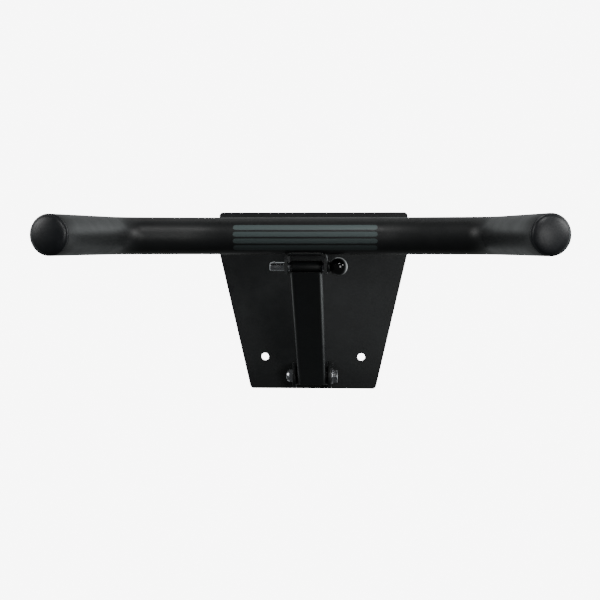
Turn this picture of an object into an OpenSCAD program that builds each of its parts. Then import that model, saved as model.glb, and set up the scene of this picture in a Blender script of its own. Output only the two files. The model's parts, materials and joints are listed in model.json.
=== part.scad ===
// Folding wall-mounted pull up bar.
// A hinged arm carries the grip bar, and a hinged strut props the arm from below.
// The strut's top is held in a U bracket under the arm by a pin with a ball knob.
// Pulling the pin out frees the strut: the arm folds up and the strut hangs down.
// X runs along the grip bar, -Y points away from the wall and Z points up.
// The origin is on the wall, at the centre of the wall plate's back face.

/* [Wall plate] */
// Width of the plate's upper part
plate_top_w = 300; // [260:5:340]
// Width of the plate's bottom edge
plate_bottom_w = 200; // [180:5:240]
// Height of the plate
plate_h = 282; // [270:1:320]
// Height of the straight sides, from the top edge down to where the taper starts
plate_side_h = 65; // [50:5:120]
// Thickness of the plate
plate_t = 5; // [4:0.5:8]
// Radius of the plate's corners
plate_corner_r = 6; // [2:1:12]
// Diameter of the four wall bolt holes
wall_hole_d = 12; // [8:0.5:14]
// Distance between the two upper wall bolt holes
upper_hole_spacing = 240; // [200:5:260]
// Distance between the two lower wall bolt holes
lower_hole_spacing = 154; // [120:2:160]
// Height of the upper wall bolt holes above the plate's middle
upper_hole_z = 108; // [90:1:115]
// Depth of the lower wall bolt holes below the plate's middle
lower_hole_drop = 90; // [70:1:110]

/* [Hinges] */
// Distance from the wall to both hinge axes
hinge_reach = 35; // [34:1:45]
// Height of the arm's hinge axis above the plate's middle
arm_z = 100; // [95:1:105]
// Depth of the strut's hinge axis below the plate's middle
strut_hinge_drop = 117; // [110:1:118]
// Thickness of the hinge lugs
lug_t = 5; // [4:0.5:6]
// Radius of a lug's rounded nose, which is also half its height
lug_r = 20; // [16:0.5:20]
// Clear width between the lugs of a hinge
lug_gap = 50; // [48:0.5:56]

/* [Grip bar] */
// Outer diameter of the grip bar's tube
bar_d = 50.8; // [48.3:0.1:52]
// Wall thickness of the grip bar's tube
bar_wall = 3; // [2:0.1:4]
// Distance from the wall to the axis of the grip bar's middle
bar_reach = 250; // [245:1:290]
// Height of the grip bar's axis above the plate's middle
bar_z = 102; // [100:0.5:104]
// Straight length from the bar's middle to the start of the gentle bend
bar_mid_l = 112; // [80:1:130]
// Angle of the gentle forward bend
bow_angle = 16; // [8:1:24]
// Radius of the gentle bend, on the tube's axis
bow_r = 200; // [120:5:240]
// Straight length between the gentle bend and the knee
bar_outer_l = 56; // [40:0.5:70]
// Angle by which each handle splays outwards from straight ahead
handle_splay = 13; // [0:1:25]
// Radius of the knee, on the tube's axis
knee_r = 55; // [45:1:80]
// Straight length of each handle
handle_l = 158; // [120:1:180]
// Thickness of the cap's flange that shows at each end of the tube
cap_flange_t = 2.5; // [2:0.5:8]
// Rise of the cap's domed end above its flange
cap_dome_h = 7; // [3:0.5:9]

/* [Arm and strut] */
// Outer width of the square tubes
square_w = 42; // [35:1:42]
// Wall thickness of the square tubes
square_wall = 3; // [2:0.5:4]
// Corner radius of the square tubes
square_corner_r = 4; // [3:0.5:6]
// Gap between the wall and the arm's rear end
arm_rear_gap = 15; // [12:1:18]
// Distance from the wall to the pull pin
pin_reach = 235; // [230:1:236]
// Height of the pull pin above the plate's middle
pin_z = 59.5; // [58:0.5:62]
// Height of the strut's level top edge above the plate's middle
strut_top_z = 52; // [50:0.5:53]
// Depth of the strut's level lower end below its hinge axis
strut_foot_drop = 12.5; // [12:0.5:14]
// Distance from the wall to the strut's upright lower end
strut_foot_reach = 12; // [10:0.5:14]

/* [Pin bracket] */
// Outer width of the U bracket
bracket_w = 58; // [56:0.5:64]
// Thickness of the bracket's plate
bracket_t = 4; // [3:0.5:5]
// Outer bend radius of the bracket's two upper corners
bracket_bend_r = 8; // [7:0.5:10]
// Height of the legs' lower ends above the plate's middle
bracket_foot_z = 49.5; // [44:0.5:50]
// Distance from the wall to the bracket's front edges
bracket_front_reach = 258; // [250:0.5:260]
// Distance from the wall to the bracket's rear edges
bracket_rear_reach = 202; // [195:1:210]

/* [Bolts and pull pin] */
// Nominal diameter of the hinge bolts and of the pull pin
pin_d = 12; // [10:0.5:12]
// Running clearance on the radius, between a pin and its hole
pin_clearance = 0.08; // [0.05:0.01:0.1]
// Width across the flats of the bolt heads and nuts
hex_af = 19; // [17:1:19]
// Thickness of the bolt heads
bolt_head_t = 7.5; // [6:0.5:9]
// Thickness of the locking nuts
nut_t = 9; // [8:0.5:13]
// Outer diameter of the washers under the bolt heads
washer_d = 24; // [21:1:26]
// Thickness of the washers
washer_t = 2.5; // [1.5:0.5:3]
// Length by which the pull pin's tip passes the bracket's left leg
pin_tip_l = 21.6; // [16:0.1:26]
// Diameter of the ball knob
knob_d = 26; // [24:1:30]
// Diameter of the detent ball near the pin's tip
detent_d = 4; // [3:0.5:4.5]

/* [Hidden] */
$fn = 96;
eps = 0.5;

hinge_y = -hinge_reach;
strut_hinge_z = -strut_hinge_drop;
pin_y = -pin_reach;
bar_y = -bar_reach;
bar_r = bar_d / 2;

hole_d = pin_d + 2 * pin_clearance;
lug_in_x = lug_gap / 2;
lug_out_x = lug_in_x + lug_t;
bush_flange_t = (lug_gap - square_w) / 2 - 0.3;
bush_flange_d = 28;
bush_spigot_d = 18;
bush_spigot_l = 12;
hinge_tube_d = 22;
bolt_end_l = 1.5;
nut_collar_t = 2.5;

sleeve_d = 16;
sleeve_l = 44;

collar_d = 16;
knob_x = 44.5;
knob_base_x = 33;
pin_shoulder_x = bracket_w / 2 + 0.3;
pin_tip_x = -bracket_w / 2 - pin_tip_l;
stud_d = 8;
stud_end_x = 50;
insert_d = 11;
detent_x = pin_tip_x + 6;
detent_proud = 1.3;
detent_hole_depth = 9;
detent_z = pin_z + pin_d / 2 + detent_proud - detent_d / 2;
spring_wire_d = 0.5;
spring_turns = 5;

cap_gap = 0.6;
cap_rib_count = 3;

// A station of the bar's path is [x, y, heading], in the bar's own level plane, where
// a heading of 0 runs along +X and a heading of 90 runs straight away from the wall.

// Station reached by going straight ahead from s
function ahead(s, l) = [s[0] + l * cos(s[2]), s[1] - l * sin(s[2]), s[2]];

// Stations along a bend of radius r that starts at s and turns by an angle
function bend(s, r, angle, steps) =
  [for (i = [0 : steps])
    let (a = s[2] + angle * i / steps)
    [s[0] + r * (sin(a) - sin(s[2])), s[1] - r * (cos(s[2]) - cos(a)), a]];

bar_sides = 40;
bow_steps = 3;
knee_steps = 10;
knee_angle = 90 - handle_splay - bow_angle;
bow = bend([bar_mid_l, 0, 0], bow_r, bow_angle, bow_steps);
knee = bend(ahead(bow[bow_steps], bar_outer_l), knee_r, knee_angle, knee_steps);
bar_end = ahead(knee[knee_steps], handle_l);
bar_right = concat(bow, knee, [bar_end]);
bar_left = [for (i = [len(bar_right) - 1 : -1 : 0])
  let (s = bar_right[i]) [-s[0], s[1], -s[2]]];
bar_path = concat(bar_left, bar_right);

strut_dy = hinge_reach - pin_reach;
strut_dz = pin_z - strut_hinge_z;
strut_lean = atan2(-strut_dy, strut_dz);
strut_l = norm([strut_dy, strut_dz]);

// ---------- Placing ----------

// Moves a shape that stands on +Z so that it runs along +X from x, at height z and depth y
module along_x(x, y, z) {
  translate([x, y, z]) rotate([0, 90, 0]) children();
}

// Extrudes an outline drawn in Y and Z, from x to x + t
module yz_plate(x, t) {
  translate([x, 0, 0]) rotate([90, 0, 90]) linear_extrude(t) children();
}

// Puts a shape drawn along +Z on the strut's axis, with its origin on the strut's hinge
module on_strut() {
  translate([0, hinge_y, strut_hinge_z]) rotate([strut_lean, 0, 0]) children();
}

// Keeps the shape, or mirrors it to the left side when side is -1
module sided(side) {
  mirror([side < 0 ? 1 : 0, 0, 0]) children();
}

// ---------- Outlines ----------

// Unit vector from point a to point b
function toward(a, b) = (b - a) / norm(b - a);

// Difference between two angles, folded into -180 to 180
function turn(a, b) = let (d = b - a) d > 180 ? d - 360 : d < -180 ? d + 360 : d;

// Points of the arc of radius r that rounds corner p between its neighbours a and b
function rounded(a, p, b, r, steps = 8) =
  let (
    u = toward(p, a),
    v = toward(p, b),
    half = acos(u * v) / 2,
    centre = p + (u + v) / norm(u + v) * r / sin(half),
    first = p + u * r / tan(half) - centre,
    last = p + v * r / tan(half) - centre,
    start = atan2(first[1], first[0]),
    sweep = turn(start, atan2(last[1], last[0]))
  )
  [for (i = [0 : steps]) centre + r * [cos(start + sweep * i / steps), sin(start + sweep * i / steps)]];

// Closed outline through the points, with every corner rounded to radius r
function rounded_outline(points, r) =
  let (n = len(points))
  [for (i = [0 : n - 1]) each rounded(points[(i + n - 1) % n], points[i], points[(i + 1) % n], r)];

// Square with rounded corners, centred on the origin
module rounded_square(w, r) {
  square([w - 2 * r, w], center = true);
  square([w, w - 2 * r], center = true);
  for (x = [-1, 1], y = [-1, 1])
    translate([x, y] * (w / 2 - r)) circle(r);
}

// Section of the square tubes
module square_section() {
  difference() {
    rounded_square(square_w, square_corner_r);
    rounded_square(square_w - 2 * square_wall, square_corner_r - square_wall / 2);
  }
}

// ---------- Fasteners and hinge parts ----------

// Hexagonal prism of height h with both end edges chamfered, standing on +Z
module hex_body(h) {
  across_corners = hex_af / cos(30);
  chamfer = (across_corners - hex_af) / 2;
  rise = chamfer * tan(30) + 0.2;
  intersection() {
    cylinder(h = h, d = across_corners, $fn = 6);
    rotate_extrude()
      polygon([
        [0, 0],
        [hex_af / 2, 0],
        [across_corners / 2, rise],
        [across_corners / 2, h - rise],
        [hex_af / 2, h - rise + chamfer * tan(30)],
        [hex_af / 2 - 0.3, h],
        [0, h]
      ]);
  }
}

// Hinge bolt along X, with its head on the right
module hinge_bolt(z) {
  head_x = lug_out_x + washer_t;
  end_x = -lug_out_x - nut_t - bolt_end_l;
  along_x(end_x, hinge_y, z) {
    cylinder(h = 1, d1 = pin_d - 2, d2 = pin_d);
    translate([0, 0, 1]) cylinder(h = head_x - end_x - 1, d = pin_d);
  }
  along_x(head_x, hinge_y, z) rotate([0, 0, 30]) hex_body(bolt_head_t);
}

// Washer under a hinge bolt's head
module hinge_washer(z) {
  along_x(lug_out_x, hinge_y, z)
    difference() {
      cylinder(h = washer_t, d = washer_d);
      translate([0, 0, -eps]) cylinder(h = washer_t + 2 * eps, d = hole_d);
    }
}

// Locking nut on the left end of a hinge bolt, with a round collar for its nylon ring
module hinge_nut(z) {
  along_x(-lug_out_x - nut_t, hinge_y, z)
    difference() {
      union() {
        cylinder(h = nut_collar_t, d1 = hex_af - 3, d2 = hex_af - 1);
        translate([0, 0, nut_collar_t]) rotate([0, 0, 22]) hex_body(nut_t - nut_collar_t);
      }
      translate([0, 0, -eps]) cylinder(h = nut_t + 2 * eps, d = pin_d);
    }
}

// Hinge lug on one side, welded to the wall plate
module lug(side, z) {
  sided(side)
    difference() {
      yz_plate(lug_in_x, lug_t) {
        translate([hinge_y, z]) circle(lug_r);
        translate([hinge_y, z - lug_r]) square([hinge_reach - plate_t, 2 * lug_r]);
      }
      along_x(lug_in_x - eps, hinge_y, z) cylinder(h = lug_t + 2 * eps, d = hole_d);
    }
}

// Short round tube welded across a square tube, which holds the two hinge bushes
module hinge_tube(z) {
  along_x(-square_w / 2, hinge_y, z)
    difference() {
      cylinder(h = square_w, d = hinge_tube_d);
      translate([0, 0, -eps]) cylinder(h = square_w + 2 * eps, d = bush_spigot_d);
    }
}

// Flanged nylon bush on one side, pressed into the hinge tube
module bush(side, z) {
  sided(side)
    along_x(square_w / 2 - bush_spigot_l, hinge_y, z)
      difference() {
        union() {
          cylinder(h = bush_spigot_l, d = bush_spigot_d);
          translate([0, 0, bush_spigot_l]) cylinder(h = bush_flange_t, d = bush_flange_d);
        }
        translate([0, 0, -eps])
          cylinder(h = bush_spigot_l + bush_flange_t + 2 * eps, d = hole_d);
      }
}

// ---------- Wall mount ----------

module wall_plate() {
  half_h = plate_h / 2;
  taper_z = half_h - plate_side_h;
  outline = rounded_outline([
    [-plate_top_w / 2, half_h],
    [-plate_top_w / 2, taper_z],
    [-plate_bottom_w / 2, -half_h],
    [plate_bottom_w / 2, -half_h],
    [plate_top_w / 2, taper_z],
    [plate_top_w / 2, half_h]
  ], plate_corner_r);
  color("#26272a")
    difference() {
      rotate([90, 0, 0]) linear_extrude(plate_t) polygon(outline);
      for (side = [-1, 1], row = [[upper_hole_spacing, upper_hole_z], [lower_hole_spacing, -lower_hole_drop]])
        translate([side * row[0] / 2, eps, row[1]])
          rotate([90, 0, 0]) cylinder(h = plate_t + 2 * eps, d = wall_hole_d);
    }
}

module upper_lug_left() {
  color("#26272a") lug(-1, arm_z);
}

module upper_lug_right() {
  color("#26272a") lug(1, arm_z);
}

module lower_lug_left() {
  color("#26272a") lug(-1, strut_hinge_z);
}

module lower_lug_right() {
  color("#26272a") lug(1, strut_hinge_z);
}

module upper_hinge_bolt() {
  color("#c3c6c9") hinge_bolt(arm_z);
}

module upper_hinge_washer() {
  color("#c3c6c9") hinge_washer(arm_z);
}

module upper_hinge_nut() {
  color("#c3c6c9") hinge_nut(arm_z);
}

module lower_hinge_bolt() {
  color("#c3c6c9") hinge_bolt(strut_hinge_z);
}

module lower_hinge_washer() {
  color("#c3c6c9") hinge_washer(strut_hinge_z);
}

module lower_hinge_nut() {
  color("#c3c6c9") hinge_nut(strut_hinge_z);
}

// ---------- Arm ----------

// Square tube from the hinge to the back of the grip bar, with its front end coped to the bar
module arm_tube() {
  color("#26272a")
    difference() {
      translate([0, -arm_rear_gap, arm_z])
        rotate([90, 0, 0]) linear_extrude(bar_reach - arm_rear_gap) square_section();
      along_x(-square_w, bar_y, bar_z) cylinder(h = 2 * square_w, d = bar_d);
      along_x(-square_w, hinge_y, arm_z) cylinder(h = 2 * square_w, d = hinge_tube_d);
    }
}

module arm_hinge_tube() {
  color("#26272a") hinge_tube(arm_z);
}

module arm_bush_left() {
  color("#1f2022") bush(-1, arm_z);
}

module arm_bush_right() {
  color("#1f2022") bush(1, arm_z);
}

// Ring of points of radius r around the bar's axis at one station of its path
function ring_at(s, r) =
  [for (i = [0 : bar_sides - 1])
    let (a = 360 * i / bar_sides)
    [s[0] + r * cos(a) * sin(s[2]), s[1] + r * cos(a) * cos(s[2]), r * sin(a)]];

// Quads that join ring a to ring b, where each ring has n points and rings count from 0
function quads(a, b, n) =
  [for (i = [0 : n - 1])
    let (j = (i + 1) % n)
    [a * n + i, a * n + j, b * n + j, b * n + i]];

// Tube swept along the whole path: the outer rings, then the inner rings, joined at both ends
module grip_bar() {
  n = len(bar_path);
  points = [
    for (r = [bar_r, bar_r - bar_wall], s = bar_path) each ring_at(s, r)
  ];
  outer = [for (i = [0 : n - 2]) each quads(i, i + 1, bar_sides)];
  inner = [for (i = [0 : n - 2]) each quads(n + i + 1, n + i, bar_sides)];
  ends = concat(quads(n, 0, bar_sides), quads(n - 1, 2 * n - 1, bar_sides));
  color("#1d1e20")
    translate([0, bar_y, bar_z]) polyhedron(points, concat(outer, inner, ends));
}

// End cap on one side: a ribbed plug in the tube and a domed head as wide as the tube
module end_cap(side) {
  bore_r = bar_r - bar_wall;
  plug_l = 22;
  rib_pitch = 6;
  dome_steps = 10;
  bevel = 1.5;
  dome_r = bar_r - bevel;
  profile = concat(
    [[0, -plug_l], [bore_r - 2, -plug_l]],
    [for (i = [cap_rib_count : -1 : 1])
      let (rib_z = -i * rib_pitch)
      each [[bore_r - 1, rib_z - 1], [bore_r, rib_z + 1], [bore_r - 1, rib_z + 1]]],
    [[bore_r - 1, cap_gap], [bar_r - 0.3, cap_gap], [bar_r, cap_gap + 0.3], [bar_r, cap_flange_t]],
    [for (i = [0 : dome_steps])
      let (a = 90 * i / dome_steps)
      [dome_r * cos(a), cap_flange_t + bevel / 2 + (cap_dome_h - bevel / 2) * sin(a)]]
  );
  color("#16171a")
    translate([0, bar_y, bar_z])
      sided(side)
        translate([bar_end[0], bar_end[1], 0])
          rotate([0, 0, -bar_end[2]]) rotate([0, 90, 0]) rotate_extrude() polygon(profile);
}

module end_cap_left() {
  end_cap(-1);
}

module end_cap_right() {
  end_cap(1);
}

// Inverted U bracket welded under the arm, coped to the grip bar, with a hole in each leg
module pin_bracket() {
  top_z = arm_z - square_w / 2;
  leg_h = top_z - bracket_foot_z;
  depth = bracket_front_reach - bracket_rear_reach;
  inner_r = bracket_bend_r - bracket_t;
  color("#26272a")
    difference() {
      translate([0, -bracket_rear_reach, top_z])
        rotate([90, 0, 0]) linear_extrude(depth)
          difference() {
            arch(bracket_w, leg_h, bracket_bend_r);
            translate([0, -bracket_t]) arch(bracket_w - 2 * bracket_t, leg_h, inner_r);
          }
      along_x(-bracket_w, bar_y, bar_z) cylinder(h = 2 * bracket_w, d = bar_d);
      along_x(-bracket_w, pin_y, pin_z) cylinder(h = 2 * bracket_w, d = hole_d);
    }
}

// Rectangle that hangs below the origin, with its two upper corners rounded
module arch(w, h, r) {
  translate([-w / 2, -h]) square([w, h - r]);
  translate([-w / 2 + r, -h]) square([w - 2 * r, h]);
  for (side = [-1, 1])
    translate([side * (w / 2 - r), -r]) circle(r);
}

// ---------- Strut ----------

// Square tube from the lower hinge to the pull pin. Its top is cut level and coped to the
// pin sleeve, and its foot is cut level and upright so that it clears the plate as it swings.
module strut_tube() {
  over = 4 * square_w;
  color("#26272a")
    difference() {
      on_strut() translate([0, 0, -square_w]) linear_extrude(strut_l + 2 * square_w) square_section();
      translate([-square_w, -pin_reach - over, strut_top_z]) cube([2 * square_w, 2 * over, over]);
      translate([-square_w, -over, strut_hinge_z - strut_foot_drop - over])
        cube([2 * square_w, 2 * over, over]);
      translate([-square_w, -strut_foot_reach, strut_hinge_z - over]) cube([2 * square_w, over, 2 * over]);
      along_x(-square_w, pin_y, pin_z) cylinder(h = 2 * square_w, d = sleeve_d);
      along_x(-square_w, hinge_y, strut_hinge_z) cylinder(h = 2 * square_w, d = hinge_tube_d);
    }
}

module strut_hinge_tube() {
  color("#26272a") hinge_tube(strut_hinge_z);
}

module strut_bush_left() {
  color("#1f2022") bush(-1, strut_hinge_z);
}

module strut_bush_right() {
  color("#1f2022") bush(1, strut_hinge_z);
}

// Round tube welded across the strut's top, which the pull pin passes through
module strut_pin_sleeve() {
  color("#26272a")
    along_x(-sleeve_l / 2, pin_y, pin_z)
      difference() {
        cylinder(h = sleeve_l, d = sleeve_d);
        translate([0, 0, -eps]) cylinder(h = sleeve_l + 2 * eps, d = hole_d);
      }
}

// ---------- Pull pin ----------

// Pin with a rounded tip, a blind cross hole for the detent and a thinner stud for the knob
module pull_pin_shaft() {
  tip_r = 2;
  shank_l = pin_shoulder_x - pin_tip_x;
  color("#c3c6c9")
    difference() {
      along_x(pin_tip_x, pin_y, pin_z)
        rotate_extrude()
          polygon(concat(
            [[0, 0]],
            [for (a = [0 : 15 : 90]) [pin_d / 2 - tip_r + tip_r * sin(a), tip_r - tip_r * cos(a)]],
            [[pin_d / 2, shank_l], [stud_d / 2, shank_l]],
            [[stud_d / 2, stud_end_x - pin_tip_x], [0, stud_end_x - pin_tip_x]]
          ));
      translate([detent_x, pin_y, pin_z + pin_d / 2 - detent_hole_depth])
        cylinder(h = detent_hole_depth + eps, d = detent_d + 0.1);
    }
}

// Ring on the pin's stud that stops the pin against the bracket
module pull_pin_collar() {
  color("#1a1a1c")
    along_x(pin_shoulder_x, pin_y, pin_z)
      difference() {
        cylinder(h = knob_base_x - pin_shoulder_x, d = collar_d);
        translate([0, 0, -eps]) cylinder(h = knob_base_x - pin_shoulder_x + 2 * eps, d = stud_d);
      }
}

// Ball knob with a flat base and a blind hole for its metal insert
module pull_pin_knob() {
  color("#0c0c0d")
    difference() {
      translate([knob_x, pin_y, pin_z]) rotate([0, 90, 0]) sphere(d = knob_d);
      translate([knob_base_x - knob_d, pin_y - knob_d, pin_z - knob_d])
        cube([knob_d, 2 * knob_d, 2 * knob_d]);
      along_x(knob_base_x - eps, pin_y, pin_z) cylinder(h = stud_end_x - knob_base_x + eps, d = insert_d);
    }
}

// Brass insert moulded into the knob, screwed onto the pin's stud
module pull_pin_insert() {
  color("#b08d3c")
    along_x(knob_base_x, pin_y, pin_z)
      difference() {
        cylinder(h = stud_end_x - knob_base_x, d = insert_d);
        translate([0, 0, -eps]) cylinder(h = stud_end_x - knob_base_x + 2 * eps, d = stud_d);
      }
}

// Ball that stands proud of the pin and keeps it from sliding out
module detent_ball() {
  color("#d6d8da") translate([detent_x, pin_y, detent_z]) sphere(d = detent_d, $fn = 48);
}

// Small coil spring under the detent ball
module detent_spring() {
  foot_z = pin_z + pin_d / 2 - detent_hole_depth + spring_wire_d / 2;
  coil_r = detent_d / 2 - spring_wire_d / 2;
  spring_l = detent_z - detent_d / 2 - foot_z;
  sides = 6;
  steps = spring_turns * 12;
  points = [
    for (i = [0 : steps], k = [0 : sides - 1])
      let (a = 360 * spring_turns * i / steps, b = 360 * k / sides, r = coil_r + spring_wire_d / 2 * cos(b))
      [r * cos(a), r * sin(a), spring_l * i / steps + spring_wire_d / 2 * sin(b)]
  ];
  wall = [for (i = [0 : steps - 1]) each quads(i + 1, i, sides)];
  ends = [[for (k = [0 : sides - 1]) k], [for (k = [sides - 1 : -1 : 0]) steps * sides + k]];
  color("#9a9da0")
    translate([detent_x, pin_y, foot_z]) polyhedron(points, concat(wall, ends));
}

// ---------- Nodes ----------

wall_plate();
upper_lug_left();
upper_lug_right();
lower_lug_left();
lower_lug_right();
upper_hinge_bolt();
upper_hinge_washer();
upper_hinge_nut();
lower_hinge_bolt();
lower_hinge_washer();
lower_hinge_nut();
arm_tube();
arm_hinge_tube();
arm_bush_left();
arm_bush_right();
grip_bar();
end_cap_left();
end_cap_right();
pin_bracket();
strut_tube();
strut_hinge_tube();
strut_bush_left();
strut_bush_right();
strut_pin_sleeve();
pull_pin_shaft();
pull_pin_collar();
pull_pin_knob();
pull_pin_insert();
detent_ball();
detent_spring();
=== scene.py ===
"""The looks of a folding wall-mounted pull up bar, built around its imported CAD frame.

Metres, in the frame's own axes: X along the grip bar, -Y away from the wall, Z up.
"""

import json
import math

import bmesh
import bpy
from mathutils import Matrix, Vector, noise


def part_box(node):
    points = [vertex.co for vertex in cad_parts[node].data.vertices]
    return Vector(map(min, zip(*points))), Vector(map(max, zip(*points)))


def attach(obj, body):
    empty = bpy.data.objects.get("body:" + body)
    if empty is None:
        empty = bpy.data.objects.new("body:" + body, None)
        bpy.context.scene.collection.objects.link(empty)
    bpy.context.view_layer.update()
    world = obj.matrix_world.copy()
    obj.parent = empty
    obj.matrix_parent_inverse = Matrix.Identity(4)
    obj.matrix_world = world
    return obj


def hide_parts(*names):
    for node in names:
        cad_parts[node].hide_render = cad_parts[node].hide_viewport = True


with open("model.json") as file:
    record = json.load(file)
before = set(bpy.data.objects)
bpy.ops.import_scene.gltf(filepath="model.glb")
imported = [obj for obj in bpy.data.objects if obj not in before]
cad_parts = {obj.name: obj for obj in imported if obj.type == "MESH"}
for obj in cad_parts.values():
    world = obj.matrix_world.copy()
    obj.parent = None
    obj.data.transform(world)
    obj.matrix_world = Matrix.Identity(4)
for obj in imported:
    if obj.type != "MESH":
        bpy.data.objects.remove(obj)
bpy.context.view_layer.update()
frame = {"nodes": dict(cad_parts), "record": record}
nodes = frame["nodes"]

# ---------- Places and sizes, from the frame ----------

BAR_LOW, BAR_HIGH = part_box("grip_bar")
BAR_R = (BAR_HIGH.z - BAR_LOW.z) / 2
BAR_Z = (BAR_HIGH.z + BAR_LOW.z) / 2
BAR_Y = BAR_HIGH.y - BAR_R
BAR_WALL = 0.003
BAR_SIDES = 96

# The bar's path from its middle to one end: straight, gentle bend, straight, knee, handle
MID_L = 0.112
BOW_ANGLE = math.radians(16)
BOW_R = 0.2
OUTER_L = 0.056
KNEE_R = 0.055
HANDLE_SPLAY = math.radians(13)
KNEE_ANGLE = math.radians(90) - HANDLE_SPLAY - BOW_ANGLE
HANDLE_L = 0.158

ARM_LOW, ARM_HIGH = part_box("arm_tube")
BRACKET_LOW, BRACKET_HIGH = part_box("pin_bracket")
SLEEVE_LOW, SLEEVE_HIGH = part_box("strut_pin_sleeve")
STRUT_LOW, STRUT_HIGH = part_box("strut_tube")
PLATE_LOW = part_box("wall_plate")[0]
KNOB_LOW, KNOB_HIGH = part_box("pull_pin_knob")

# Shorter than this counts as nothing
TINY = 1e-7


# ---------- Meshes ----------


def mesh_object(name, bm, material, smooth_angle=40):
    """Turns a bmesh into an object with smooth faces and edges sharper than the angle kept."""
    bmesh.ops.recalc_face_normals(bm, faces=bm.faces)
    mesh = bpy.data.meshes.new(name)
    bm.to_mesh(mesh)
    bm.free()
    mesh.polygons.foreach_set("use_smooth", [True] * len(mesh.polygons))
    mesh.set_sharp_from_angle(angle=math.radians(smooth_angle))
    mesh.materials.append(material)
    obj = bpy.data.objects.new(name, mesh)
    bpy.context.scene.collection.objects.link(obj)
    return obj


def place(obj, body, slot, *replaced):
    """Rides a finished piece on a body and hides the CAD nodes it stands for. The slot argument is
    not used.
    """
    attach(obj, body)
    if replaced:
        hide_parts(*replaced)
    return obj


def loft(bm, rings, closed=False):
    """Joins rings of equal point counts with quads. Closed joins the last ring to the first."""
    rows = [[bm.verts.new(p) for p in ring] for ring in rings]
    pairs = list(zip(rows, rows[1:]))
    if closed:
        pairs.append((rows[-1], rows[0]))
    for a, b in pairs:
        n = len(a)
        for i in range(n):
            j = (i + 1) % n
            bm.faces.new((a[i], a[j], b[j], b[i]))
    return rows


def ring(centre, along, radius, sides):
    """Circle of points around a centre, square to the direction along."""
    across = along.cross(Vector((0, 0, 1)))
    if across.length < TINY:
        across = Vector((1, 0, 0))
    across.normalize()
    up = across.cross(along).normalized()
    turns = [2 * math.pi * i / sides for i in range(sides)]
    return [centre + radius * (math.cos(t) * across + math.sin(t) * up) for t in turns]


def lathe(name, profile, origin, axis, material, sides=96):
    """Solid of revolution. The profile is [radius, distance along the axis], from axis to axis."""
    bm = bmesh.new()
    axis = Vector(axis).normalized()
    inner = [p for p in profile if p[0] > TINY]
    rows = loft(bm, [ring(Vector(origin) + axis * s, axis, r, sides) for r, s in inner])
    for end, row in ((profile[0], rows[0]), (profile[-1], rows[-1])):
        if end[0] > TINY:
            bm.faces.new(row)
            continue
        tip = bm.verts.new(Vector(origin) + axis * end[1])
        for i in range(sides):
            bm.faces.new((row[i], row[(i + 1) % sides], tip))
    return mesh_object(name, bm, material)


def washer_ring(name, inner_r, outer_r, low, high, origin, axis):
    """Flat nylon ring around an axis, with its four edges eased."""
    edge = 0.0002
    section = [
        (inner_r, low + edge),
        (inner_r + edge, low),
        (outer_r - edge, low),
        (outer_r, low + edge),
        (outer_r, high - edge),
        (outer_r - edge, high),
        (inner_r + edge, high),
        (inner_r, high - edge),
    ]
    bm = bmesh.new()
    axis = Vector(axis).normalized()
    loft(bm, [ring(Vector(origin) + axis * s, axis, r, 72) for r, s in section], closed=True)
    return mesh_object(name, bm, FINISHES["bush_nylon"])


# ---------- Materials ----------


class Finish:
    """A procedural material built on one Principled shader."""

    def __init__(self, name):
        self.material = bpy.data.materials.new(name)
        self.material.use_nodes = True
        self.tree = self.material.node_tree
        self.shader = self.tree.nodes["Principled BSDF"]
        self.place = self.tree.nodes.new("ShaderNodeTexCoord").outputs["Object"]

    def noise(self, size, detail=3, stretch=(1, 1, 1)):
        """Noise whose features are about size metres across."""
        scale = self.tree.nodes.new("ShaderNodeMapping")
        scale.inputs["Scale"].default_value = stretch
        texture = self.tree.nodes.new("ShaderNodeTexNoise")
        texture.inputs["Scale"].default_value = 1 / size
        texture.inputs["Detail"].default_value = detail
        self.tree.links.new(self.place, scale.inputs["Vector"])
        self.tree.links.new(scale.outputs["Vector"], texture.inputs["Vector"])
        return texture.outputs["Fac"]

    def spread(self, source, low, high, start=0.3, end=0.7):
        """Stretches a texture from start-end to low-high."""
        spread = self.tree.nodes.new("ShaderNodeMapRange")
        limits = {"From Min": start, "From Max": end, "To Min": low, "To Max": high}
        for socket, value in limits.items():
            spread.inputs[socket].default_value = value
        self.tree.links.new(source, spread.inputs["Value"])
        return spread.outputs["Result"]

    def blend(self, source, first, second, start=0.3, end=0.7):
        """Colour that runs from first to second with a texture."""
        ramp = self.tree.nodes.new("ShaderNodeValToRGB")
        ramp.color_ramp.elements[0].position = start
        ramp.color_ramp.elements[0].color = (*first, 1)
        ramp.color_ramp.elements[1].position = end
        ramp.color_ramp.elements[1].color = (*second, 1)
        self.tree.links.new(source, ramp.inputs["Fac"])
        return ramp.outputs["Color"]

    def set(self, **values):
        """Plain values, or texture outputs, on the shader's sockets."""
        for name, value in values.items():
            socket = self.shader.inputs[name.replace("_", " ")]
            if isinstance(value, bpy.types.NodeSocket):
                self.tree.links.new(value, socket)
            else:
                socket.default_value = value
        return self

    def bumps(self, *layers):
        """Bump layers, each (height texture, depth in metres)."""
        normal = None
        for height, depth in layers:
            bump = self.tree.nodes.new("ShaderNodeBump")
            bump.inputs["Strength"].default_value = 1
            bump.inputs["Distance"].default_value = depth
            self.tree.links.new(height, bump.inputs["Height"])
            if normal:
                self.tree.links.new(normal, bump.inputs["Normal"])
            normal = bump.outputs["Normal"]
        self.tree.links.new(normal, self.shader.inputs["Normal"])
        return self.material


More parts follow.
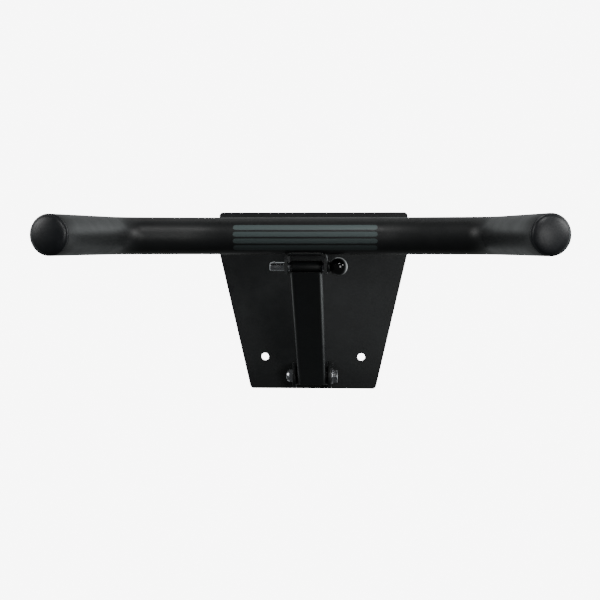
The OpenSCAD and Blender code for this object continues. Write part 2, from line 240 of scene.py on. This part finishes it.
def powder_coat():
    """Near-black powder coat with a fine pebbled texture."""
    f = Finish("powder_coat_black")
    f.set(
        Base_Color=f.blend(f.noise(0.03), (0.0130, 0.0144, 0.0150), (0.0175, 0.0194, 0.0200)),
        Roughness=f.spread(f.noise(0.012), 0.44, 0.54),
        Specular_IOR_Level=0.5,
    )
    return f.bumps((f.noise(0.0045, 1), 0.00006), (f.noise(0.0011, 2), 0.00005))


def bar_coat():
    """Smoother satin powder coat of the grip bar, with a faint orange peel."""
    f = Finish("bar_coat_black")
    f.set(
        Base_Color=f.blend(f.noise(0.05), (0.0075, 0.0082, 0.0086), (0.0110, 0.0120, 0.0124)),
        Roughness=f.spread(f.noise(0.02), 0.42, 0.49),
        Specular_IOR_Level=0.5,
    )
    return f.bumps((f.noise(0.004, 1), 0.00004), (f.noise(0.0008, 2), 0.00002))


def zinc_plate():
    """Bright zinc plate, slightly blue, with dull patches and fine handling marks."""
    f = Finish("zinc_plated_steel")
    f.set(
        Base_Color=f.blend(f.noise(0.006), (0.58, 0.60, 0.63), (0.80, 0.81, 0.83)),
        Metallic=1.0,
        Roughness=f.spread(f.noise(0.004), 0.20, 0.36),
    )
    return f.bumps((f.noise(0.0012, 4, (6, 1, 1)), 0.000015))


def spring_steel():
    """Polished steel of the detent's ball and spring."""
    f = Finish("spring_steel")
    f.set(
        Base_Color=f.blend(f.noise(0.002), (0.66, 0.67, 0.69), (0.80, 0.80, 0.82)),
        Metallic=1.0,
        Roughness=f.spread(f.noise(0.001), 0.10, 0.20),
    )
    return f.bumps((f.noise(0.0005), 0.000004))


def cap_plastic():
    """Moulded black plastic of the end caps, with a fine spark-eroded grain."""
    f = Finish("cap_plastic")
    f.set(
        Base_Color=f.blend(f.noise(0.008), (0.0080, 0.0092, 0.0115), (0.0125, 0.0140, 0.0165)),
        Roughness=f.spread(f.noise(0.006), 0.38, 0.46),
        Specular_IOR_Level=0.5,
    )
    return f.bumps((f.noise(0.006, 1), 0.00005), (f.noise(0.0006, 2), 0.00002))


def bush_nylon():
    """Black nylon of the hinge bushes and the nuts' locking rings."""
    f = Finish("bush_nylon")
    f.set(
        Base_Color=f.blend(f.noise(0.01), (0.010, 0.010, 0.011), (0.016, 0.016, 0.017)),
        Roughness=f.spread(f.noise(0.003), 0.40, 0.52),
    )
    return f.bumps((f.noise(0.001), 0.00001))


def knob_gloss():
    """Polished phenolic of the ball knob."""
    f = Finish("knob_gloss_black")
    f.set(
        Base_Color=f.blend(f.noise(0.01), (0.0030, 0.0030, 0.0033), (0.0050, 0.0050, 0.0054)),
        Roughness=f.spread(f.noise(0.004), 0.04, 0.08),
        Specular_IOR_Level=0.6,
        Coat_Weight=0.4,
        Coat_Roughness=0.03,
    )
    return f.bumps((f.noise(0.003), 0.000006))


def insert_brass():
    """Turned brass of the knob's insert."""
    f = Finish("insert_brass")
    f.set(
        Base_Color=f.blend(f.noise(0.004), (0.62, 0.46, 0.18), (0.72, 0.55, 0.25)),
        Metallic=1.0,
        Roughness=f.spread(f.noise(0.002), 0.25, 0.38),
    )
    return f.bumps((f.noise(0.0004, 2, (8, 1, 1)), 0.00001))


def print_grey():
    """Grey-green ink of the printed stripes, with painted shade: the colour runs from lighter at
    the top to darker towards the bottom, as the light falls on the bar.
    """
    f = Finish("print_grey")
    height = f.tree.nodes.new("ShaderNodeSeparateXYZ")
    f.tree.links.new(f.place, height.inputs["Vector"])
    f.set(
        # Painted shade: the ink is lighter at the top of the bar and darker towards its bottom,
        # ramped by height
        Base_Color=f.blend(
            f.spread(height.outputs["Z"], 0, 1, BAR_Z - 0.018, BAR_Z + 0.010),
            (0.040, 0.051, 0.051),
            (0.088, 0.120, 0.120),
            0,
            1,
        ),
        Roughness=f.spread(f.noise(0.004), 0.38, 0.48),
    )
    return f.bumps((f.noise(0.0009, 2), 0.000015))


FINISHES = {
    "powder_coat_black": powder_coat(),
    "bar_coat_black": bar_coat(),
    "zinc_plated_steel": zinc_plate(),
    "spring_steel": spring_steel(),
    "cap_plastic": cap_plastic(),
    "bush_nylon": bush_nylon(),
    "knob_gloss_black": knob_gloss(),
    "insert_brass": insert_brass(),
    "print_grey": print_grey(),
}


# ---------- CAD nodes that show as they are ----------


def dress_cad_nodes():
    """Gives every CAD node its material, and eases its sharp edges."""
    edge_widths = {"powder_coat_black": 0.0006, "zinc_plated_steel": 0.0003, "bush_nylon": 0.0003}
    for part in frame["record"]["subparts"]:
        node = nodes[part["node"]]
        slot = part["material_slot"]
        node.data.materials.clear()
        node.data.materials.append(FINISHES[slot])
        width = edge_widths.get(slot)
        if not width:
            continue
        weld = node.modifiers.new("weld", "WELD")
        weld.merge_threshold = 0.00001
        bevel = node.modifiers.new("ease_edges", "BEVEL")
        bevel.width = width
        bevel.segments = 3
        bevel.limit_method = "ANGLE"
        bevel.angle_limit = math.radians(35)
        bevel.harden_normals = True


# ---------- Grip bar ----------


def bar_stations():
    """Points and headings along the right half of the bar's axis, from the middle outwards."""
    x, y, heading = 0.0, 0.0, 0.0
    stations = [(x, y, heading)]

    def straight(length, steps):
        nonlocal x, y
        for _ in range(steps):
            x += length / steps * math.cos(heading)
            y -= length / steps * math.sin(heading)
            stations.append((x, y, heading))

    def bend(radius, angle, steps):
        nonlocal x, y, heading
        for _ in range(steps):
            turned = heading + angle / steps
            x += radius * (math.sin(turned) - math.sin(heading))
            y -= radius * (math.cos(heading) - math.cos(turned))
            heading = turned
            stations.append((x, y, heading))

    straight(MID_L, 4)
    bend(BOW_R, BOW_ANGLE, 12)
    straight(OUTER_L, 2)
    bend(KNEE_R, KNEE_ANGLE, 28)
    straight(HANDLE_L, 6)
    return stations


def bar_path():
    """Points and directions along the whole bar, from its left end to its right end."""
    right = bar_stations()
    left = [(-x, y, -heading) for x, y, heading in reversed(right[1:])]
    return [
        (Vector((x, BAR_Y + y, BAR_Z)), Vector((math.cos(h), -math.sin(h), 0)))
        for x, y, h in left + right
    ]


def build_grip_bar():
    """One bent tube with a smooth outside, rounded lips and its real bore."""
    path = bar_path()
    lip = 0.0005
    lip_corner = lip * 0.3
    outer = [ring(p, d, BAR_R, BAR_SIDES) for p, d in path[1:-1]]
    inner = [ring(p, d, BAR_R - BAR_WALL, BAR_SIDES) for p, d in path[1:-1]]

    def end_rings(p, d, outwards):
        return [
            ring(p - outwards * lip * d, d, BAR_R, BAR_SIDES),
            ring(p - outwards * lip_corner * d, d, BAR_R - lip_corner, BAR_SIDES),
            ring(p, d, BAR_R - lip, BAR_SIDES),
            ring(p, d, BAR_R - BAR_WALL, BAR_SIDES),
        ]

    left_end = end_rings(*path[0], -1)
    right_end = end_rings(*path[-1], 1)
    bm = bmesh.new()
    loft(bm, left_end[::-1] + outer + right_end + inner[::-1], closed=True)
    bar = mesh_object("grip_bar_tube", bm, FINISHES["bar_coat_black"])
    return place(bar, "arm", "bar_coat_black", "grip_bar")


def build_end_cap(side, name):
    """Moulded cap: a plug in the tube, a flange with eased edges and a shallow dome."""
    point, direction = bar_path()[-1]
    origin = Vector((side * point.x, point.y, point.z))
    axis = Vector((side * direction.x, direction.y, 0))
    plug_depth = 0.022
    plug_bevel = 0.001
    plug_r = BAR_R - BAR_WALL - 0.001
    seat = 0.0007  # the flange's underside, just off the tube's end
    flange_top = 0.0022
    ease = 0.0006
    dome_r = BAR_R - 0.0020
    dome_start = flange_top + 0.0009
    dome_top = 0.0094
    steps = 24
    profile = [
        (0, -plug_depth),
        (plug_r - plug_bevel, -plug_depth),
        (plug_r, -plug_depth + plug_bevel),
        (plug_r, seat),
        (BAR_R - ease, seat),
        (BAR_R - ease / 6, seat + ease / 3),
        (BAR_R, seat + ease),
        (BAR_R, flange_top),
        (BAR_R - ease / 3, flange_top + 0.0004),
        (BAR_R - ease, flange_top + 0.0007),
    ]
    for i in range(1, steps):
        turn = math.pi / 2 * i / steps
        rise = (dome_top - dome_start) * math.sin(turn)
        profile.append((dome_r * math.cos(turn), dome_start + rise))
    profile.append((0, dome_top))
    cap = lathe(name + "_moulding", profile, origin, axis, FINISHES["cap_plastic"], 128)
    return place(cap, "arm", "cap_plastic", name)


def build_stripe(name, low, high, half_length):
    """One printed stripe on the bar's front, from height low to high, with round ends."""
    thickness = 0.00008
    surface_r = BAR_R + thickness / 2
    start = math.asin((low - BAR_Z) / BAR_R)
    end = math.asin((high - BAR_Z) / BAR_R)
    end_r = BAR_R * (end - start) / 2
    rows, columns = 16, 48
    bm = bmesh.new()
    grid = []
    for i in range(rows + 1):
        across = 2 * i / rows - 1
        turn = start + (end - start) * i / rows
        reach = half_length - end_r * (1 - math.sqrt(max(0.0, 1 - across * across)))
        y = BAR_Y - surface_r * math.cos(turn)
        z = BAR_Z + surface_r * math.sin(turn)
        xs = [reach * (2 * j / columns - 1) for j in range(columns + 1)]
        grid.append([bm.verts.new((x, y, z)) for x in xs])
    for a, b in zip(grid, grid[1:]):
        for j in range(columns):
            bm.faces.new((a[j], a[j + 1], b[j + 1], b[j]))
    bmesh.ops.recalc_face_normals(bm, faces=bm.faces)
    bmesh.ops.solidify(bm, geom=bm.faces[:], thickness=thickness)
    return place(mesh_object(name, bm, FINISHES["print_grey"]), "arm", "print_grey")


def build_stripes():
    """Four plain stripes, generic print in place of any mark."""
    count = 4
    half_length = 0.098
    low, high, gap = BAR_Z - 0.0195, BAR_Z + 0.0145, 0.0026
    height = (high - low - gap * (count - 1)) / count
    for i in range(count):
        bottom = low + i * (height + gap)
        build_stripe(f"printed_stripe_{i + 1}", bottom, bottom + height, half_length)


# ---------- Weld beads ----------


def resample(points, step, closed):
    """Points at even steps along a polyline."""
    loop = points + [points[0]] if closed else points
    lengths = [(b - a).length for a, b in zip(loop, loop[1:])]
    total = sum(lengths)
    count = max(4, round(total / step))
    found = []
    for i in range(count if closed else count + 1):
        target = total * i / count
        k = 0
        while k < len(lengths) - 1 and target > lengths[k]:
            target -= lengths[k]
            k += 1
        found.append(loop[k].lerp(loop[k + 1], min(1.0, target / lengths[k])))
    return found


def bead(bm, points, radius, closed, seed):
    """Adds a rippled weld bead along the points to a bmesh. An open bead tapers at its ends."""
    ripple = 0.0016
    step = ripple / 5
    lumps_per_m = 160
    drifts_per_m = 90
    sides = 12
    path = resample([Vector(p) for p in points], step, closed)
    n = len(path)
    rings = []
    for i, p in enumerate(path):
        before = path[i - 1] if closed or i else p
        after = path[(i + 1) % n] if closed or i < n - 1 else p
        along = (after - before).normalized()
        wave = (i * step / ripple) % 1.0
        lump = noise.noise(Vector((i * step * lumps_per_m, seed, 0)))
        swell = 0.95 + 0.2 * math.sin(math.pi * wave) + 0.25 * lump
        drift = noise.noise_vector(Vector((i * step * drifts_per_m, seed + 5, 0))) * radius * 0.12
        if not closed:
            fade = min(1.0, min(i, n - 1 - i) * step / (1.2 * radius))
            swell *= 0.25 + 0.75 * math.sqrt(fade)
        rings.append(ring(p + drift, along, radius * swell, sides))
    rows = loft(bm, rings, closed)
    if not closed:
        bm.faces.new(rows[0])
        bm.faces.new(rows[-1])


def weld_piece(name, body, beads):
    """One piece that holds several beads, each (points, radius, closed)."""
    bm = bmesh.new()
    for k, (points, radius, closed) in enumerate(beads):
        bead(bm, points, radius, closed, len(name) + 3.7 * k)
    weld = mesh_object(name, bm, FINISHES["powder_coat_black"], 60)
    return place(weld, body, "powder_coat_black")


def build_lug_welds():
    """Fillets where each hinge lug meets the wall plate, on both of its faces."""
    bead_r = 0.0026
    inset = 0.001  # the bead stops short of the lug's corners
    stand_off = 0.0006  # bead's centre off each of the two faces
    y = PLATE_LOW.y - stand_off
    for name in ("upper_lug_left", "upper_lug_right", "lower_lug_left", "lower_lug_right"):
        low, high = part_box(name)
        beads = []
        for x in (low.x - stand_off, high.x + stand_off):
            beads.append(([(x, y, low.z + inset), (x, y, high.z - inset)], bead_r, False))
        weld_piece(name + "_weld", "wall_mount", beads)


def bar_surface_y(z):
    """Depth of the bar's back at a height, near its middle."""
    return BAR_Y + math.sqrt(max(0.0, BAR_R**2 - (z - BAR_Z) ** 2))


def build_arm_weld():
    """Bead all round the arm's coped end, where it meets the bar."""
    bead_r = 0.0024
    corner = 0.004
    corner_steps = 6
    spacing = 0.002
    half_w = (ARM_HIGH.x - ARM_LOW.x) / 2
    centre_z = (ARM_HIGH.z + ARM_LOW.z) / 2

    def on_bar(x, z):
        stand_off = 0.0008
        return Vector((x, bar_surface_y(z) + stand_off, z))

    points = []
    for quarter, (sx, sz) in enumerate(((1, 1), (-1, 1), (-1, -1), (1, -1))):
        for i in range(corner_steps + 1):
            turn = math.pi / 2 * (quarter + i / corner_steps)
            x = sx * (half_w - corner) + corner * math.cos(turn)
            z = centre_z + sz * (half_w - corner) + corner * math.sin(turn)
            points.append(on_bar(x, z))
    dense = [on_bar(p.x, p.z) for p in resample(points, spacing, True)]
    weld_piece("arm_to_bar_weld", "arm", [(dense, bead_r, True)])


def build_bracket_welds():
    """Beads where the U bracket meets the bar in front and the arm behind and beside."""
    front_r, rear_r, side_r = 0.0028, 0.0020, 0.0019
    half_w = (ARM_HIGH.x - ARM_LOW.x) / 2
    top = BRACKET_HIGH.z

    front_y = BRACKET_LOW.y - 0.0013
    front_z = BAR_Z - math.sqrt(BAR_R**2 - (front_y - BAR_Y) ** 2) - 0.0002
    front_reach = BRACKET_HIGH.x - 0.005
    beads = [([(x, front_y, front_z) for x in (-front_reach, front_reach)], front_r, False)]

    rear_y = BRACKET_HIGH.y + 0.0004
    rear_reach = half_w - 0.002
    beads.append(([(x, rear_y, top) for x in (-rear_reach, rear_reach)], rear_r, False))

    side_x = half_w + 0.0002
    side_z = top + 0.0004
    side_ys = (bar_surface_y(top) + 0.003, BRACKET_HIGH.y - 0.003)
    for x in (-side_x, side_x):
        beads.append(([(x, y, side_z) for y in side_ys], side_r, False))
    weld_piece("bracket_weld", "arm", beads)


def build_sleeve_weld():
    """Beads under the pin sleeve where it sits in the strut's side walls."""
    bead_r = 0.0013
    stand_off = 0.0002
    # Degrees about the sleeve, from just below its front, round the bottom, to its back
    start, sweep, steps = 190, 160, 20
    centre = (SLEEVE_LOW + SLEEVE_HIGH) / 2
    around_r = (SLEEVE_HIGH.z - SLEEVE_LOW.z) / 2 + stand_off
    side_x = (STRUT_HIGH.x - STRUT_LOW.x) / 2 + stand_off
    turns = [math.radians(start + sweep * i / steps) for i in range(steps + 1)]
    arc = [(centre.y + around_r * math.cos(t), centre.z + around_r * math.sin(t)) for t in turns]
    beads = [([(side * side_x, y, z) for y, z in arc], bead_r, False) for side in (-1, 1)]
    weld_piece("sleeve_weld", "strut", beads)


# ---------- Hardware ----------


def build_knob():
    """Ball knob with a small flat base and an eased edge."""
    radius = (KNOB_HIGH.z - KNOB_LOW.z) / 2
    middle = (KNOB_LOW + KNOB_HIGH) / 2
    centre = Vector((KNOB_HIGH.x - radius, middle.y, middle.z))
    base = KNOB_LOW.x - centre.x
    stud_r = 0.0055
    dimple = 0.0002
    edge_ease = 0.0004
    edge_turn = math.acos(base / radius)
    base_r = radius * math.sin(edge_turn) - edge_ease
    steps = 48
    profile = [(stud_r * 0.2, base + dimple), (stud_r, base), (base_r, base)]
    for i in range(1, steps):
        turn = edge_turn * (1 - i / steps)
        profile.append((radius * math.sin(turn), radius * math.cos(turn)))
    profile.append((0, radius))
    knob = lathe("ball_knob", profile, centre, (1, 0, 0), FINISHES["knob_gloss_black"], 128)
    return place(knob, "pull_pin", "knob_gloss_black", "pull_pin_knob")


def build_nut_rings():
    """Nylon locking ring in the collar of each hinge nut, just proud of the steel."""
    inner_r, outer_r = 0.0060, 0.0072
    proud, sunk = 0.0003, 0.0010
    for name in ("upper_hinge_nut", "lower_hinge_nut"):
        low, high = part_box(name)
        middle = (low + high) / 2
        origin = (low.x, middle.y, middle.z)
        nylon = washer_ring(name + "_nylon_ring", inner_r, outer_r, -proud, sunk, origin, (1, 0, 0))
        place(nylon, "wall_mount", "bush_nylon")


# ---------- Setting ----------


def area_light(name, position, target, width, height, power):
    """Rectangular white light of a width and height in metres and a power in watts."""
    light = bpy.data.lights.new(name, "AREA")
    light.shape = "RECTANGLE"
    light.size = width
    light.size_y = height
    light.energy = power
    obj = bpy.data.objects.new(name, light)
    obj.location = position
    obj.rotation_euler = (Vector(target) - Vector(position)).to_track_quat("-Z", "Y").to_euler()
    bpy.context.scene.collection.objects.link(obj)


def build_world():
    """White surroundings to the eye. The object itself sees a bright backdrop and a dark room."""
    white_strength = 8.0
    room_glow = 0.05
    # Each glow behind the object: direction, tightness, strength
    backdrop = [
        ((0, 0.86, 0.5), 6, 0.5),
        ((0.7, 0.7, 0), 8, 2.3),
        ((-0.7, 0.7, 0), 8, 1.1),
        ((-0.25, 0.85, -0.5), 10, 0.3),
    ]
    world = bpy.data.worlds.new("studio")
    world.use_nodes = True
    tree = world.node_tree
    tree.nodes.clear()
    direction = tree.nodes.new("ShaderNodeTexCoord").outputs["Generated"]

    def math_node(operation, first, second):
        node = tree.nodes.new("ShaderNodeMath")
        node.operation = operation
        for socket, value in zip(node.inputs, (first, second)):
            if isinstance(value, bpy.types.NodeSocket):
                tree.links.new(value, socket)
            else:
                socket.default_value = value
        return node.outputs[0]

    total = room_glow
    for toward, tightness, strength in backdrop:
        facing = tree.nodes.new("ShaderNodeVectorMath")
        facing.operation = "DOT_PRODUCT"
        facing.inputs[1].default_value = Vector(toward).normalized()
        tree.links.new(direction, facing.inputs[0])
        lobe = math_node("POWER", math_node("MAXIMUM", facing.outputs["Value"], 0), tightness)
        total = math_node("ADD", math_node("MULTIPLY", lobe, strength), total)

    glow = tree.nodes.new("ShaderNodeBackground")
    glow.inputs["Color"].default_value = (0.94, 0.99, 1, 1)
    tree.links.new(total, glow.inputs["Strength"])
    white = tree.nodes.new("ShaderNodeBackground")
    white.inputs["Color"].default_value = (1, 1, 1, 1)
    white.inputs["Strength"].default_value = white_strength
    mix = tree.nodes.new("ShaderNodeMixShader")
    rays = tree.nodes.new("ShaderNodeLightPath")
    out = tree.nodes.new("ShaderNodeOutputWorld")
    tree.links.new(rays.outputs["Is Camera Ray"], mix.inputs["Fac"])
    tree.links.new(glow.outputs[0], mix.inputs[1])
    tree.links.new(white.outputs[0], mix.inputs[2])
    tree.links.new(mix.outputs[0], out.inputs["Surface"])
    bpy.context.scene.world = world


def build_lights():
    """Large soft lights, all aimed at the middle of the grip bar and the plate."""
    focus = (0, -0.25, 0.05)
    area_light("overhead_back", (0.0, 0.3, 1.7), focus, 2.0, 0.4, 2.2)
    area_light("high_right", (0.42, -1.55, 1.35), focus, 0.5, 0.35, 8)
    area_light("front_right", (0.7, -1.6, 0.1), focus, 0.5, 0.6, 4)
    area_light("side_left", (-2.0, -1.0, 0.95), focus, 1.2, 1.2, 20)
    area_light("side_right", (2.0, -0.95, 0.8), focus, 1.1, 0.9, 24)


def build_camera():
    """Camera level with the grip bar, a little to its right, looking slightly down and left."""
    camera = bpy.data.cameras.new("camera")
    camera.sensor_width = 36
    camera.lens = 66.4
    obj = bpy.data.objects.new("camera", camera)
    tilt_down, pan_left = math.radians(2.962), math.radians(3.036)
    obj.location = (0.0727, -1.7703, 0.0926)
    obj.rotation_euler = (math.pi / 2 - tilt_down, 0, pan_left)
    bpy.context.scene.collection.objects.link(obj)
    bpy.context.scene.camera = obj


build_camera()
build_world()
build_lights()
dress_cad_nodes()
build_grip_bar()
build_end_cap(-1, "end_cap_left")
build_end_cap(1, "end_cap_right")
build_stripes()
build_lug_welds()
build_arm_weld()
build_bracket_welds()
build_sleeve_weld()
build_knob()
build_nut_rings()
